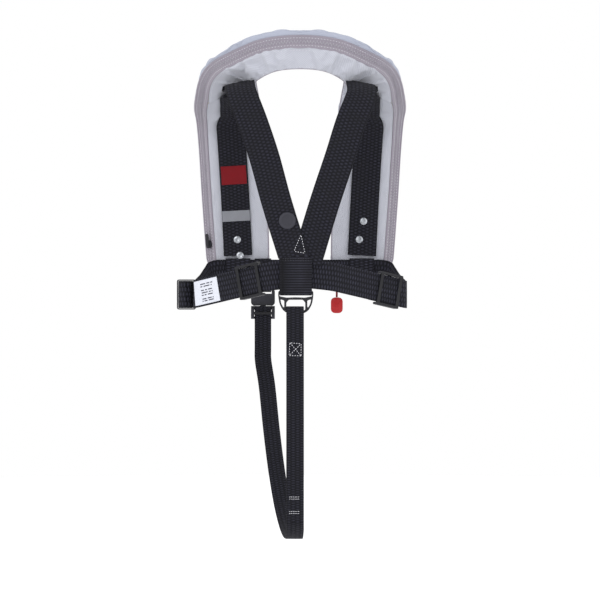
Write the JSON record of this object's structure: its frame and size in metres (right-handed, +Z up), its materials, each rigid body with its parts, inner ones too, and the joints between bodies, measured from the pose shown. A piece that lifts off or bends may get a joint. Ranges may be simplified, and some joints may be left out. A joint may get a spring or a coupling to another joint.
{
  "type": "inflatable life jacket",
  "caption": "Horseshoe inflatable life jacket with stand-up collar, V-shaped back straps, adjustable waist belt, crotch ring and crotch strap.",
  "frame": {"origin": "midway between the wearer's shoulders, at the height where the straps leave the collar", "axes": "+X the wearer's right, +Y the wearer's front, +Z up"},
  "size_m": [0.3396, 0.304, 0.7322],
  "materials": {
    "webbing": "ribbed woven polyester webbing, matt",
    "cover": "matt woven nylon",
    "lining": "soft twill",
    "zip": "woven zip tape with stitching",
    "bladder": "coated fabric",
    "plastic": "moulded, satin",
    "steel": "zinc plated",
    "red": "moulded",
    "label": "printed woven label",
    "stud": "moulded"
  },
  "bodies": {
    "root": {"cover": "cover", "lobe_backing_left": "lining", "collar_lining": "lining", "lobe_backing_right": "lining", "bladder": "bladder", "burst_zip": "zip", "inflator_body": "plastic", "bladder_port": "plastic", "lever_bracket": "plastic", "cord_grommet": "plastic", "oral_tube": "plastic", "whistle": "red", "whistle_sleeve": "webbing", "back_belt": "webbing", "buckle_female": "plastic", "front_belt_left": "webbing", "front_belt_right": "webbing", "belt_tunnel_left": "webbing", "belt_tunnel_right": "webbing", "size_label": "label", "belt_roll": "webbing", "belt_keeper": "webbing", "shoulder_strap_left": "webbing", "shoulder_strap_right": "webbing", "stud_cap": "stud", "stud_socket": "stud", "yoke_loop": "webbing", "crotch_strap_back": "webbing", "crotch_strap_front": "webbing", "crotch_buckle_female": "plastic", "crotch_anchor": "webbing"},
    "adjuster_left_glide": {"adjuster_left": "plastic"},
    "adjuster_right_glide": {"adjuster_right": "plastic"},
    "ring": {"crotch_ring": "plastic"},
    "front_male": {"buckle_male": "plastic"},
    "front_arm_upper": {"buckle_arm_upper": "plastic"},
    "front_arm_lower": {"buckle_arm_lower": "plastic"},
    "crotch_male": {"crotch_buckle_male": "plastic"},
    "crotch_arm_left": {"crotch_buckle_arm_left": "plastic"},
    "crotch_arm_right": {"crotch_buckle_arm_right": "plastic"},
    "zip_runner": {"zip_slider": "plastic", "zip_pull": "plastic"},
    "pull_handle": {"pull_cord": "red", "pull_toggle": "red"},
    "lever": {"inflator_lever": "red"},
    "gas_cylinder": {"co2_cylinder": "steel"},
    "sensor": {"sensor_cap": "red"},
    "oral_cap": {"oral_tube_cap": "red"}
  },
  "joints": [
    {"name": "adjuster_left_slide", "type": "slide", "parent": "root", "child": "adjuster_left_glide", "axis": [-0.8437, 0.5, -0.1953], "range_m": [-0.002, 0.03]},
    {"name": "adjuster_right_slide", "type": "slide", "parent": "root", "child": "adjuster_right_glide", "axis": [-0.8437, -0.5, 0.1953], "range_m": [-0.001, 0.038]},
    {"name": "ring_swing", "type": "hinge", "parent": "root", "child": "ring", "pos_m": [-0.006, -0.11812, -0.3005], "axis": [1, 0, 0], "range_deg": [-6, 6]},
    {"name": "front_buckle_release", "type": "slide", "parent": "root", "child": "front_male", "axis": [1, 0, 0], "range_m": [0, 0.027]},
    {"name": "front_arm_upper_squeeze", "type": "hinge", "parent": "front_male", "child": "front_arm_upper", "pos_m": [-0.0019, 0.1148, -0.2508], "axis": [0, -1, 0], "range_deg": [0, 6], "stiffness_Nm_per_rad": 0.3},
    {"name": "front_arm_lower_squeeze", "type": "hinge", "parent": "front_male", "child": "front_arm_lower", "pos_m": [-0.0019, 0.1148, -0.2912], "axis": [0, 1, 0], "range_deg": [0, 6], "stiffness_Nm_per_rad": 0.3},
    {"name": "crotch_buckle_release", "type": "slide", "parent": "root", "child": "crotch_male", "axis": [0, 0, -1], "range_m": [0, 0.024]},
    {"name": "crotch_arm_right_squeeze", "type": "hinge", "parent": "crotch_male", "child": "crotch_arm_right", "pos_m": [-0.0433, 0.1118, -0.3206], "axis": [0, -1, 0], "range_deg": [0, 6], "stiffness_Nm_per_rad": 0.3},
    {"name": "crotch_arm_left_squeeze", "type": "hinge", "parent": "crotch_male", "child": "crotch_arm_left", "pos_m": [-0.0687, 0.1118, -0.3206], "axis": [0, 1, 0], "range_deg": [0, 6], "stiffness_Nm_per_rad": 0.3},
    {"name": "zip_run", "type": "slide", "parent": "root", "child": "zip_runner", "axis": [-0.0774, 0.0487, 0.9958], "range_m": [0, 0.02]},
    {"name": "handle_pull", "type": "slide", "parent": "root", "child": "pull_handle", "axis": [0, 0, -1], "range_m": [0, 0.03]},
    {"name": "lever_turn", "type": "hinge", "parent": "root", "child": "lever", "pos_m": [0.073, 0.136, -0.224], "axis": [0, -1, 0], "range_deg": [0, 70]},
    {"name": "cylinder_unscrew", "type": "hinge", "parent": "root", "child": "gas_cylinder", "pos_m": [0.101, 0.1483, -0.204], "axis": [0, 0, 1], "continuous": true},
    {"name": "sensor_cap_unscrew", "type": "hinge", "parent": "root", "child": "sensor", "pos_m": [0.101, 0.1483, -0.238], "axis": [0, 0, 1], "continuous": true},
    {"name": "oral_cap_lift", "type": "slide", "parent": "root", "child": "oral_cap", "axis": [0, 0, 1], "range_m": [0, 0.01]}
  ],
  "couplings": [
    {"joint": "front_arm_lower_squeeze", "follows": "front_arm_upper_squeeze", "ratio": 1},
    {"joint": "crotch_arm_left_squeeze", "follows": "crotch_arm_right_squeeze", "ratio": 1},
    {"joint": "lever_turn", "follows": "handle_pull", "rad_per_m": 40.714}
  ]
}
